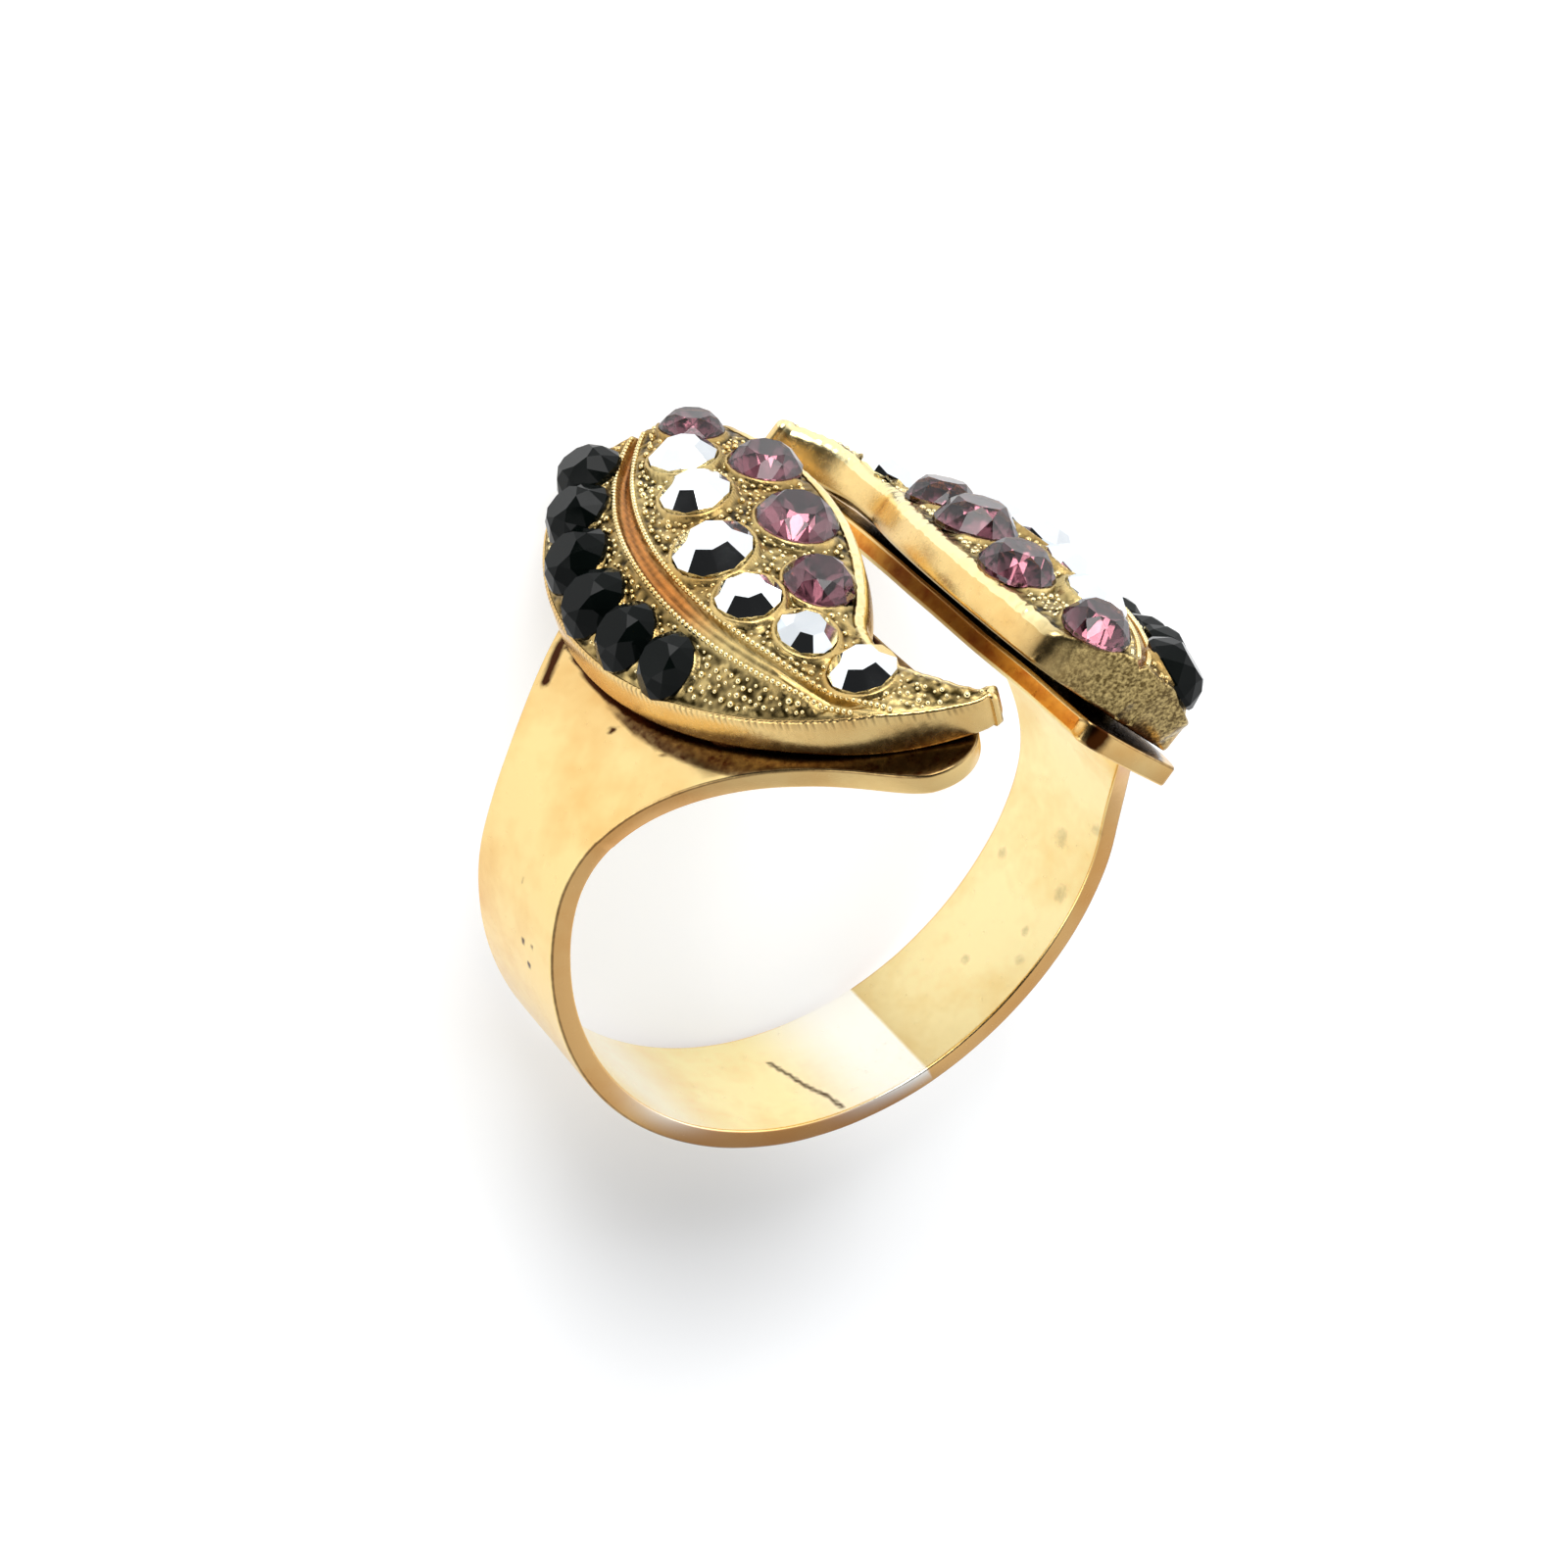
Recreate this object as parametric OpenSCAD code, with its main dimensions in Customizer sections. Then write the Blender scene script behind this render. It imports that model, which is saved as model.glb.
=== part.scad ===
// Open crystal ring: a sheet band whose two flared ends each carry a cast plaque set with round stones.
// Millimetres, +Z up. The ring lies on its far side, and the origin is on the floor under its middle.

/* [Band] */
// Inside diameter of the finger hole
finger_d = 17.5; // [17:0.1:18]
// Width of the band below the flares
band_w = 4.4; // [3.8:0.1:5]
// Thickness of the band's sheet
band_t = 0.62; // [0.55:0.01:0.7]
// Angle up from the bottom where each side starts to bend in tighter
side_angle = 80; // [76:1:84]
// Half width of the flared ends
lobe_half_w = 8.2; // [7.8:0.1:8.6]
// Radius of the concave curve that opens into each flare
flare_r = 6.6; // [6:0.1:7]
// How much further than its plaque's slope each flared end bends
lobe_droop = 4; // [3:0.5:6]
// Corner radius of the flared ends
lobe_corner_r = 2; // [1.4:0.1:2.4]
// Flat run of the left flared end past its bend
left_run = 4.5; // [3.8:0.1:4.6]
// Flat run of the right flared end past its bend
right_run = 3.2; // [2.8:0.1:4]

/* [Plaques] */
// Height of the left plaque's underside over the middle of the finger hole
left_base = 7.65; // [7.6:0.01:7.7]
// Height of the right plaque's underside over the middle of the finger hole
right_base = 7.85; // [7.8:0.01:7.9]
// Slope of the left plaque, down and away from the gap
left_slope = 28; // [27:0.5:29]
// Slope of the right plaque
right_slope = 30; // [29:0.5:31]
// How far the right plaque sits towards its own tip
right_shift = 0.4; // [0:0.1:0.6]
// Height of the smooth side wall
wall_h = 1.0; // [0.9:0.05:1.1]
// Height of the crown over the underside
crown_h = 2.35; // [2.25:0.05:2.45]
// Slope of the outer bevel that the black stones sit on
outer_slope = 31; // [29:1:33]
// Slope of the inner shoulder
inner_slope = 24; // [22:1:26]
// Depth of the smooth channel beside the black stones
channel_depth = 0.25; // [0.15:0.05:0.3]

/* [Stones] */
// Diameter of a usual stone
stone_d = 1.9; // [1.8:0.02:1.9]
// Clearance round a stone in its seat
seat_gap = 0.04; // [0.02:0.01:0.06]
// How far a stone's girdle stands over the metal
stone_lift = 0.12; // [0.08:0.02:0.2]

/* [Hidden] */
$fn = 96;

inner_r = finger_d / 2;
outer_r = inner_r + band_t;
// The solder between the band and the plaques is this thick at its thinnest
seam_gap = 0.12;
seam_w = 1.8;
seam_x = [-4.6, 5.7];
seam_inset = 0.15;
// Parts that are fused reach this far into each other
bite = 0.25;
// The flared sides stand this much proud of the lower band on every face
proud = 0.01;

// Plan of a plaque from above: x runs to its tip, y to the gap between the two plaques
outer_c = [-1.2, 4.9];
outer_edge_r = 9.25;
belly_c = [-3.5, -7.1];
belly_r = 11.2;
notch_c = [4.55, 5.1];
notch_r = 3.55;
notch_end = -114;
tip_end = [7.7, 3.1];
tip_cut = [0.3, -0.5];
blunt_corners = [[-6.7, 3.63], [-7.5, 2.6], [-7.85, 1.4], [-8.1, 0.3], [-7.85, -0.9]];

// The crown's ridge is a slice of a barrel across the plaque
barrel_r = 26;
barrel_x = -1.5;
notch_rim = 0.1;

// The channel is a crescent between these two circles
channel_c = [0.15, 8.63];
channel_r = 10.85;
field_c = [0.21, 10.09];
field_r = 11.64;
channel_margin = 0.45;

// Stones: x and y on the plaque's plan, and diameter as a share of stone_d
BLACK = [
    [-6.8, -0.8, 0.9], [-5.32, -1.93, 0.9], [-3.71, -2.87, 0.9],
    [-1.92, -3.37, 0.9], [-0.12, -3.39, 0.85], [1.56, -3.15, 0.79]
];
MIRROR = [
    [-4.98, 1.32, 1], [-3.02, 0.64, 1.02], [-0.52, -0.25, 1.15],
    [1.6, -0.48, 0.92], [3.31, 0.14, 0.84], [5.09, 0.64, 0.96]
];
PURPLE = [[-6.62, 2.4, 0.94], [-3.72, 3.08, 1.05], [-0.8, 2.37, 1.15], [1.75, 1.5, 1]];
probe = 0.7;

// Shape of a stone, as shares of its radius
table_share = 0.56;
crown_share = 0.5;
girdle_share = 0.06;
foot_share = 0.5;

function polar(r, a) = r * [cos(a), sin(a)];
function heading(c, p) = atan2(p.y - c.y, p.x - c.x);
function bow(c, r, a0, a1, n = 16) = [for (i = [0 : n]) c + polar(r, a0 + (a1 - a0) * i / n)];

// The ring rests on a rounded corner of each flared end and on the far edge of the band
right_foot_turn = 30;
left_foot_turn = 0;
band_foot_angle = 7.5;
laid_middle = [0.02, -1.08];

// Direction out of the band at an angle up from its bottom, seen along the finger hole
function outward(a) = [sin(a), -cos(a)];
function onward(a) = [cos(a), sin(a)];

// Each side of the band bends in with a tighter curve that meets the plane under its plaque
function side_r(slope, base) = let (turn = 180 - slope - side_angle)
    (base - seam_gap - outer_r * cos(turn)) / (1 - cos(turn));
function side_c(slope, base) = (outer_r - side_r(slope, base)) * outward(side_angle);
function flare(z) = band_w / 2 + flare_r - sqrt(pow(flare_r, 2) - pow(min(max(z, 0), flare_r), 2));
function corner_cap(t, run) = let (k = max(0, t - run + lobe_corner_r))
    lobe_half_w - lobe_corner_r + sqrt(max(0, pow(lobe_corner_r, 2) - pow(k, 2)));

// Sections of one flared side: a point of the outer face, the direction out of it, and the half width
function bend_section(c, r, a) = let (p = c + r * outward(a)) [p, outward(a), min(flare(p.y), lobe_half_w)];
function run_section(c, r, a, t, run) = let (p = c + r * outward(a) + t * onward(a))
    [p, outward(a), min(flare(p.y), corner_cap(t, run))];

// A foot is a point on the inner face of a flared end, where its corner has turned by an angle
function flared_foot(slope, base, run, turned) = let (
        last = 180 - slope + lobe_droop,
        t = run - lobe_corner_r * (1 - sin(turned)),
        p = side_c(slope, base) + (side_r(slope, base) - band_t - proud) * outward(last) + t * onward(last)
    ) [p.x, corner_cap(t, run), p.y];
right_foot = flared_foot(right_slope, right_base, right_run, right_foot_turn);
left_corner = flared_foot(left_slope, left_base, left_run, left_foot_turn);
left_foot = [-left_corner.x, left_corner.y, left_corner.z];
band_foot = [outer_r * sin(band_foot_angle), band_w / 2, -outer_r * cos(band_foot_angle)];
rest_cross = cross(left_foot - band_foot, right_foot - band_foot);
rest_normal = rest_cross / norm(rest_cross) * sign(rest_cross.y);

// Height of the metal over the plaque's underside, and how it falls away
function outer_rise(p) = wall_h + (outer_edge_r - norm(p - outer_c)) * tan(outer_slope);
function inner_rise(p) = wall_h + (belly_r - norm(p - belly_c)) * tan(inner_slope);
function ridge(p) = crown_h - barrel_r + sqrt(pow(barrel_r, 2) - pow(p.x - barrel_x, 2));
function metal_z(p) = min(ridge(p), outer_rise(p), max(inner_rise(p), wall_h + notch_rim));
function fall(p) = [
    metal_z(p - [probe, 0]) - metal_z(p + [probe, 0]),
    metal_z(p - [0, probe]) - metal_z(p + [0, probe])
] / (2 * probe);
function mean_z(p) = (metal_z(p) + metal_z(p + [probe, 0]) + metal_z(p - [probe, 0])
    + metal_z(p + [0, probe]) + metal_z(p - [0, probe])) / 5;

module lower_band() {
    reach = 2 * outer_r;
    end = side_angle + 1;
    rotate([90, 0, 0]) linear_extrude(band_w, center = true) difference() {
        circle(outer_r);
        circle(inner_r);
        polygon([
            [0, 0], reach * outward(end), reach * [1, 1], reach * [-1, 1], reach * outward(-end)
        ]);
    }
}

module flared_side(slope, base, run) {
    // One side of the band, sheet of even thickness whose cut edges stand square to its faces
    r = side_r(slope, base);
    c = side_c(slope, base);
    last = 180 - slope + lobe_droop;
    bends = 18;
    flats = 4;
    rounds = 6;
    sections = concat(
        [[(outer_r + proud) * outward(side_angle - 1), outward(side_angle - 1), band_w / 2 + proud]],
        [for (i = [0 : bends]) bend_section(c, r + proud, side_angle + (last - side_angle) * i / bends)],
        [for (i = [1 : flats]) run_section(c, r + proud, last, (run - lobe_corner_r) * i / flats, run)],
        [for (i = [1 : rounds])
            run_section(c, r + proud, last, run - lobe_corner_r * (1 - sin(15 * i)), run)]
    );
    n = len(sections);
    thick = band_t + 2 * proud;
    points = [for (s = sections) each let (q = s[0] - thick * s[1])
        [[s[0].x, s[2], s[0].y], [s[0].x, -s[2], s[0].y], [q.x, -s[2], q.y], [q.x, s[2], q.y]]];
    polyhedron(
        points = points,
        faces = concat(
            [[3, 2, 1, 0], [for (k = [0 : 3]) 4 * (n - 1) + k]],
            [for (i = [0 : n - 2]) each let (a = 4 * i, b = 4 * (i + 1)) [
                [a, a + 1, b + 1, b],
                [a + 2, a + 3, b + 3, b + 2],
                [a + 1, b + 2, b + 1], [a + 1, a + 2, b + 2],
                [a + 3, b, b + 3], [a + 3, a, b]
            ]]
        )
    );
}

module band() {
    lower_band();
    flared_side(right_slope, right_base, right_run);
    mirror([1, 0, 0]) flared_side(left_slope, left_base, left_run);
}

module plan() {
    polygon(concat(
        bow(notch_c, notch_r, heading(notch_c, tip_end), notch_end),
        bow(belly_c, belly_r,
            heading(belly_c, notch_c + polar(notch_r, notch_end)), heading(belly_c, blunt_corners[0])),
        [for (i = [1 : 3]) blunt_corners[i]],
        bow(outer_c, outer_edge_r,
            heading(outer_c, blunt_corners[4]) + 360, heading(outer_c, tip_end + tip_cut) + 360, 30)
    ));
}

module bevel(edge_r, slope) {
    // A drum whose top is a cone through the upper edge of the side wall
    skirt = 1;
    cylinder(h = wall_h - skirt * tan(slope), r = edge_r + skirt);
    translate([0, 0, wall_h - skirt * tan(slope)])
        cylinder(h = (edge_r + skirt) * tan(slope), r1 = edge_r + skirt, r2 = 0);
}

module cast_body() {
    room = 2 * belly_r;
    intersection() {
        linear_extrude(crown_h + 1) plan();
        translate(outer_c) bevel(outer_edge_r, outer_slope);
        union() {
            translate(belly_c) bevel(belly_r, inner_slope);
            translate([0, -room, 0]) cube([room, 2 * room, wall_h + notch_rim]);
        }
        translate([barrel_x, 0, crown_h - barrel_r]) rotate([90, 0, 0])
            cylinder(r = barrel_r, h = room, center = true);
    }
}

module channel_cut() {
    // The skin of metal that is missing over the channel
    difference() {
        intersection() {
            translate(channel_c) cylinder(h = 2 * crown_h, r = channel_r);
            translate(outer_c) cylinder(h = 2 * crown_h, r = outer_edge_r - channel_margin);
        }
        translate([field_c.x, field_c.y, -1]) cylinder(h = 2 * crown_h + 2, r = field_r);
        translate([0, 0, -channel_depth]) cast_body();
        translate([-belly_r, -belly_r, -1]) cube([2 * belly_r, 2 * belly_r, 1 + wall_h / 2]);
    }
}

module seated(s) {
    // Puts its child on the metal at one row of a stone table, leaning the way the metal falls
    p = [s.x, s.y];
    g = fall(p);
    translate([s.x, s.y, mean_z(p) + stone_lift]) rotate([0, 0, atan2(g.y, g.x)])
        rotate([0, atan(norm(g)), 0]) children();
}

module seat(s) {
    // A round pocket a little wider and deeper than its stone
    r = s.z * stone_d / 2;
    deep = foot_share * r + seat_gap;
    seated(s) translate([0, 0, -deep]) cylinder(h = 3 * deep, r = r + seat_gap);
}

module solder(slope, base) {
    // The seam under a plaque, sunk a little into both sides
    away = -side_c(slope, base) * [cos(slope), -sin(slope)];
    translate([0, 0, -seam_gap - bite]) linear_extrude(seam_gap + 2 * bite) intersection() {
        translate([seam_x[0], away - seam_w / 3]) square([seam_x[1] - seam_x[0], seam_w]);
        translate(outer_c) circle(outer_edge_r - seam_inset);
    }
}

module plaque() {
    difference() {
        cast_body();
        channel_cut();
        for (s = concat(BLACK, MIRROR, PURPLE)) seat(s);
    }
}

module on_left() {
    // From a plaque's own plan to its place over the finger hole
    rotate([0, -left_slope, 0]) translate([0, 0, left_base]) rotate(-90) children();
}

module on_right() {
    rotate(180) rotate([0, -right_slope, 0]) translate([0, 0, right_base]) rotate(-90) children();
}

module shank_and_settings() {
    color("goldenrod") {
        band();
        on_left() {
            plaque();
            solder(left_slope, left_base);
        }
        on_right() {
            translate([right_shift, 0, 0]) plaque();
            solder(right_slope, right_base);
        }
    }
}

module stone(d) {
    // A round chaton: flat table, eight main facets down to a scalloped girdle, and a blunt point
    r = d / 2;
    table_z = crown_share * r;
    foot_z = -foot_share * r;
    girdle_z = girdle_share * r;
    // A main facet is flat, so the girdle rises or drops between the middles of two facets
    inset = (1 - cos(22.5)) * r;
    upper_corner = girdle_z + (table_z - girdle_z) * inset / (r - table_share * r * cos(22.5));
    lower_corner = -girdle_z + (foot_z + girdle_z) * inset / (r - foot_share * r * cos(22.5));
    table = [for (k = [0 : 7]) [each polar(table_share * r, 45 * k + 22.5), table_z]];
    upper = [for (j = [0 : 15]) [each polar(r, 22.5 * j), j % 2 == 0 ? girdle_z : upper_corner]];
    under = [for (j = [0 : 15]) [each polar(r, 22.5 * j), j % 2 == 0 ? -girdle_z : lower_corner]];
    foot = [for (k = [0 : 7]) [each polar(foot_share * r, 45 * k + 22.5), foot_z]];
    polyhedron(
        points = concat(table, upper, under, foot),
        faces = concat(
            [[for (k = [7 : -1 : 0]) k]],
            [for (k = [0 : 7]) [(k + 7) % 8, k, 8 + (2 * k + 1) % 16, 8 + 2 * k, 8 + (2 * k + 15) % 16]],
            [for (j = [0 : 15]) [8 + j, 8 + (j + 1) % 16, 24 + (j + 1) % 16, 24 + j]],
            [for (k = [0 : 7])
                [24 + (2 * k + 15) % 16, 24 + 2 * k, 24 + (2 * k + 1) % 16, 40 + k, 40 + (k + 7) % 8]],
            [[for (k = [0 : 7]) 40 + k]]
        )
    );
}

module one_stone(side, s) {
    if (side == "left") on_left() seated(s) stone(s.z * stone_d);
    else on_right() translate([right_shift, 0, 0]) seated(s) stone(s.z * stone_d);
}

module laid() {
    // Tips the ring from standing on its band to lying on its far side, with the plaques to the front
    translate([-laid_middle.x, -laid_middle.y, rest_normal * band_foot]) rotate(180)
        rotate(a = acos(-rest_normal.z), v = cross(rest_normal, [0, 0, -1])) children();
}

laid() shank_and_settings();
for (side = ["left", "right"]) for (i = [1 : 6])
    laid() color("black") one_stone(side, BLACK[i - 1]);
for (side = ["left", "right"]) for (i = [1 : 6])
    laid() color("silver") one_stone(side, MIRROR[i - 1]);
for (side = ["left", "right"]) for (i = [1 : 4])
    laid() color("plum") one_stone(side, PURPLE[i - 1]);
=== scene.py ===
import math

import bpy
import numpy as np
from mathutils import Matrix, Vector


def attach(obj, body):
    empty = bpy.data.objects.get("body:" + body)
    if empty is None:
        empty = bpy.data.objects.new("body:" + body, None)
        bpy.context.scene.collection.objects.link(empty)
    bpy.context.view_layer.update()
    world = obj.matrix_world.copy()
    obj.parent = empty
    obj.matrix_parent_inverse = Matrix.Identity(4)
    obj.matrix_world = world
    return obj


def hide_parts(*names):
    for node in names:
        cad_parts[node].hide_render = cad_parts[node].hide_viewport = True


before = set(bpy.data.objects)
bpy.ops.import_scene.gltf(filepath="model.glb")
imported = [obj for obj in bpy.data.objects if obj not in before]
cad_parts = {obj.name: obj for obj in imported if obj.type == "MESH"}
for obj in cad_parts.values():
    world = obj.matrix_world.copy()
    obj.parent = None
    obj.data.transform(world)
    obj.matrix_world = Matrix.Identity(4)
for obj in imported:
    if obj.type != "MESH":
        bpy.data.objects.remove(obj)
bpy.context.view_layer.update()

MM = 0.001

# Sizes in millimetres. Those of the band, the plaques' forms and the stones are the source's own
INNER_R, BAND_T, BAND_W = 8.75, 0.62, 4.4
OUTER_R = INNER_R + BAND_T
SIDE_ANGLE, LOBE_W, FLARE_R, DROOP, CORNER_R = 80, 8.2, 6.6, 4, 2
SEAM_GAP = 0.12
SIDES = {
    "left": dict(slope=28, base=7.65, run=4.5, shift=0.0, flip=-1),
    "right": dict(slope=30, base=7.85, run=3.2, shift=0.4, flip=1),
}
OUTER_C, OUTER_EDGE_R = (-1.2, 4.9), 9.25
BELLY_C, BELLY_R = (-3.5, -7.1), 11.2
NOTCH_C, NOTCH_R = (4.55, 5.1), 3.55
WALL_H, CROWN_H = 1.0, 2.35
OUTER_SLOPE, INNER_SLOPE = math.radians(31), math.radians(24)
BARREL_R, BARREL_X, NOTCH_RIM = 26, -1.5, 0.1
CHANNEL_C, CHANNEL_R = (0.15, 8.63), 10.85
FIELD_C, FIELD_R = (0.21, 10.09), 11.64
STONE_D, STONE_LIFT, PROBE = 1.9, 0.12, 0.7
# Each stone as plan x, plan y and its size as a share of STONE_D
BLACK = [(-6.8, -0.8, 0.9), (-5.32, -1.93, 0.9), (-3.71, -2.87, 0.9),
         (-1.92, -3.37, 0.9), (-0.12, -3.39, 0.85), (1.56, -3.15, 0.79)]
MIRROR = [(-4.98, 1.32, 1), (-3.02, 0.64, 1.02), (-0.52, -0.25, 1.15),
          (1.6, -0.48, 0.92), (3.31, 0.14, 0.84), (5.09, 0.64, 0.96)]
PURPLE = [(-6.62, 2.4, 0.94), (-3.72, 3.08, 1.05), (-0.8, 2.37, 1.15), (1.75, 1.5, 1)]
STONES = BLACK + MIRROR + PURPLE

# The ring as it stands on its band goes over into the ring as it lies
REST_NORMAL = Vector((0.0439, 0.9347, -0.3527)).normalized()
LAID_MIDDLE = (0.02, -1.08)
BAND_FOOT_ANGLE = math.radians(7.5)


def laid_matrix():
    foot = Vector((OUTER_R * math.sin(BAND_FOOT_ANGLE), BAND_W / 2,
                   -OUTER_R * math.cos(BAND_FOOT_ANGLE)))
    down = Vector((0, 0, -1))
    tip = Matrix.Rotation(math.acos(-REST_NORMAL.z), 4, REST_NORMAL.cross(down))
    turn = Matrix.Rotation(math.pi, 4, "Z")
    shift = Matrix.Translation((-LAID_MIDDLE[0], -LAID_MIDDLE[1], REST_NORMAL.dot(foot)))
    return Matrix.Scale(MM, 4) @ shift @ turn @ tip


LAID = laid_matrix()


def plaque_matrix(side):
    s = SIDES[side]
    m = Matrix.Rotation(-math.radians(s["slope"]), 4, "Y") @ Matrix.Translation((0, 0, s["base"]))
    m = m @ Matrix.Rotation(-math.pi / 2, 4, "Z") @ Matrix.Translation((s["shift"], 0, 0))
    if side == "right":
        m = Matrix.Rotation(math.pi, 4, "Z") @ m
    return LAID @ m


def moved(points, matrix):
    m = np.array(matrix)
    return np.asarray(points, float) @ m[:3, :3].T + m[:3, 3]


def smooth(t):
    t = np.clip(t, 0, 1)
    return t * t * (3 - 2 * t)


def lattice_noise(x, y, cell, seed):
    # Smooth noise in -1..1 whose grains are one cell wide
    size = 256
    table = np.random.default_rng(seed).uniform(-1, 1, (size, size))
    u, v = np.asarray(x) / cell + 57.3, np.asarray(y) / cell + 91.7
    i, j = np.floor(u).astype(int), np.floor(v).astype(int)
    a, b = smooth(u - i), smooth(v - j)
    at = lambda p, q: table[p % size, q % size]
    return ((at(i, j) * (1 - a) + at(i + 1, j) * a) * (1 - b)
            + (at(i, j + 1) * (1 - a) + at(i + 1, j + 1) * a) * b)


def colour(hex_code):
    value = [int(hex_code[i:i + 2], 16) / 255 for i in (0, 2, 4)]
    return tuple(c / 12.92 if c <= 0.04045 else ((c + 0.055) / 1.055) ** 2.4
                 for c in value) + (1.0,)


# Nodes


def new_material(name):
    m = bpy.data.materials.new(name)
    m.use_nodes = True
    m.node_tree.nodes.clear()
    out = m.node_tree.nodes.new("ShaderNodeOutputMaterial")
    shader = m.node_tree.nodes.new("ShaderNodeBsdfPrincipled")
    m.node_tree.links.new(shader.outputs["BSDF"], out.inputs["Surface"])
    return m, m.node_tree.nodes, m.node_tree.links, shader


def feed(links, socket, value):
    # The value is another node's socket, or a number, colour or vector
    if isinstance(value, bpy.types.NodeSocket):
        links.new(value, socket)
    else:
        socket.default_value = value


def noise_node(nodes, links, scale, detail=4.0, rough=0.6):
    place = nodes.new("ShaderNodeTexCoord")
    n = nodes.new("ShaderNodeTexNoise")
    n.inputs["Scale"].default_value = scale
    n.inputs["Detail"].default_value = detail
    n.inputs["Roughness"].default_value = rough
    links.new(place.outputs["Object"], n.inputs["Vector"])
    return n.outputs["Fac"]


def mix_node(nodes, links, factor, a, b):
    mix = nodes.new("ShaderNodeMix")
    mix.data_type = "RGBA"
    links.new(factor, mix.inputs["Factor"])
    feed(links, mix.inputs["A"], a)
    feed(links, mix.inputs["B"], b)
    return mix.outputs["Result"]


def range_node(nodes, links, value, low, high, to_low, to_high, eased=False):
    r = nodes.new("ShaderNodeMapRange")
    if eased:
        r.interpolation_type = "SMOOTHSTEP"
    links.new(value, r.inputs["Value"])
    for label, number in (("From Min", low), ("From Max", high),
                          ("To Min", to_low), ("To Max", to_high)):
        r.inputs[label].default_value = number
    return r.outputs["Result"]


def math_node(nodes, links, operation, *values):
    n = nodes.new("ShaderNodeMath")
    n.operation = operation
    for socket, value in zip(n.inputs, values):
        feed(links, socket, value)
    return n.outputs["Value"]


def vector_node(nodes, links, operation, a, b):
    n = nodes.new("ShaderNodeVectorMath")
    n.operation = operation
    feed(links, n.inputs[0], a)
    feed(links, n.inputs[1], b)
    return n.outputs["Value"]


def attribute_node(nodes, name):
    a = nodes.new("ShaderNodeAttribute")
    a.attribute_name = name
    return a.outputs["Fac"]


# Materials

# The near-white tint paints reflection, and the stain tint paints real stains and shade alike
COPPER_TINT, REFLECTION_TINT, STAIN_AND_SHADE_TINT = "cc7c38", "fffdf4", "3e1e08"
SKIN_TINTS, SKIN_SCALE, SKIN_LIMITS = ("5c4a26", "d8bf80"), 9500, (0.4, 0.66)
STAIN_AND_SHADE_FRAY, STAIN_AND_SHADE_LIMITS = 0.35, (0.23, 0.85)
BUMP_DEPTH = 0.00003


def gold_material(name, tints, roughness, bump, grain, cloud_scale=260, limits=(0.42, 0.72)):
    # The tints are bright, clouded, and dark for tarnish and painted shade. Point values: tone
    # fades to the dark tint, copper reddens, a painted reflection lightens places, speckle gives a
    # grainy cast skin and the stain value darkens marks and painted shade
    m, nodes, links, shader = new_material(name)
    bright, clouded, tarnish_and_shade = [colour(t) for t in tints]
    cloud = range_node(nodes, links, noise_node(nodes, links, cloud_scale), *limits, 0.0, 1.0)
    warm = mix_node(nodes, links, cloud, bright, clouded)
    red = mix_node(nodes, links, attribute_node(nodes, "copper"), warm, colour(COPPER_TINT))
    with_reflection = mix_node(nodes, links, attribute_node(nodes, "painted_reflection"), red, colour(REFLECTION_TINT))
    toned = mix_node(nodes, links, attribute_node(nodes, "tone"), tarnish_and_shade, with_reflection)
    spots = range_node(nodes, links, noise_node(nodes, links, SKIN_SCALE), *SKIN_LIMITS, 0.0, 1.0)
    skin = mix_node(nodes, links, spots, colour(SKIN_TINTS[0]), colour(SKIN_TINTS[1]))
    skinned = mix_node(nodes, links, attribute_node(nodes, "speckle"), toned, skin)
    fine = noise_node(nodes, links, grain, 6)
    ragged = math_node(nodes, links, "MULTIPLY_ADD", fine, STAIN_AND_SHADE_FRAY,
                       attribute_node(nodes, "stain_and_shade"))
    marked = range_node(nodes, links, ragged, *STAIN_AND_SHADE_LIMITS, 0.0, 1.0)
    stained_and_shaded = mix_node(nodes, links, marked, skinned, colour(STAIN_AND_SHADE_TINT))
    links.new(stained_and_shaded, shader.inputs["Base Color"])
    shader.inputs["Metallic"].default_value = 1.0
    links.new(range_node(nodes, links, fine, 0.3, 0.7, *roughness), shader.inputs["Roughness"])
    relief = nodes.new("ShaderNodeBump")
    relief.inputs["Strength"].default_value = bump
    relief.inputs["Distance"].default_value = BUMP_DEPTH
    links.new(fine, relief.inputs["Height"])
    links.new(relief.outputs["Normal"], shader.inputs["Normal"])
    return m


def stone_material(name, tints, scale, detail, roughness, **settings):
    # The roughness is one number, or two limits between which a veil of dust moves it
    m, nodes, links, shader = new_material(name)
    veil = noise_node(nodes, links, scale, detail)
    tint = mix_node(nodes, links, veil, colour(tints[0]), colour(tints[1]))
    links.new(tint, shader.inputs["Base Color"])
    if isinstance(roughness, tuple):
        roughness = range_node(nodes, links, veil, *roughness)
    feed(links, shader.inputs["Roughness"], roughness)
    for label, number in settings.items():
        shader.inputs[label.replace("_", " ")].default_value = number
    return m


BAND_GOLD = gold_material("band_gold", ("f7d995", "e6b66c", "6a3512"), (0.2, 0.28), 0.07, 4200)
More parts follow.
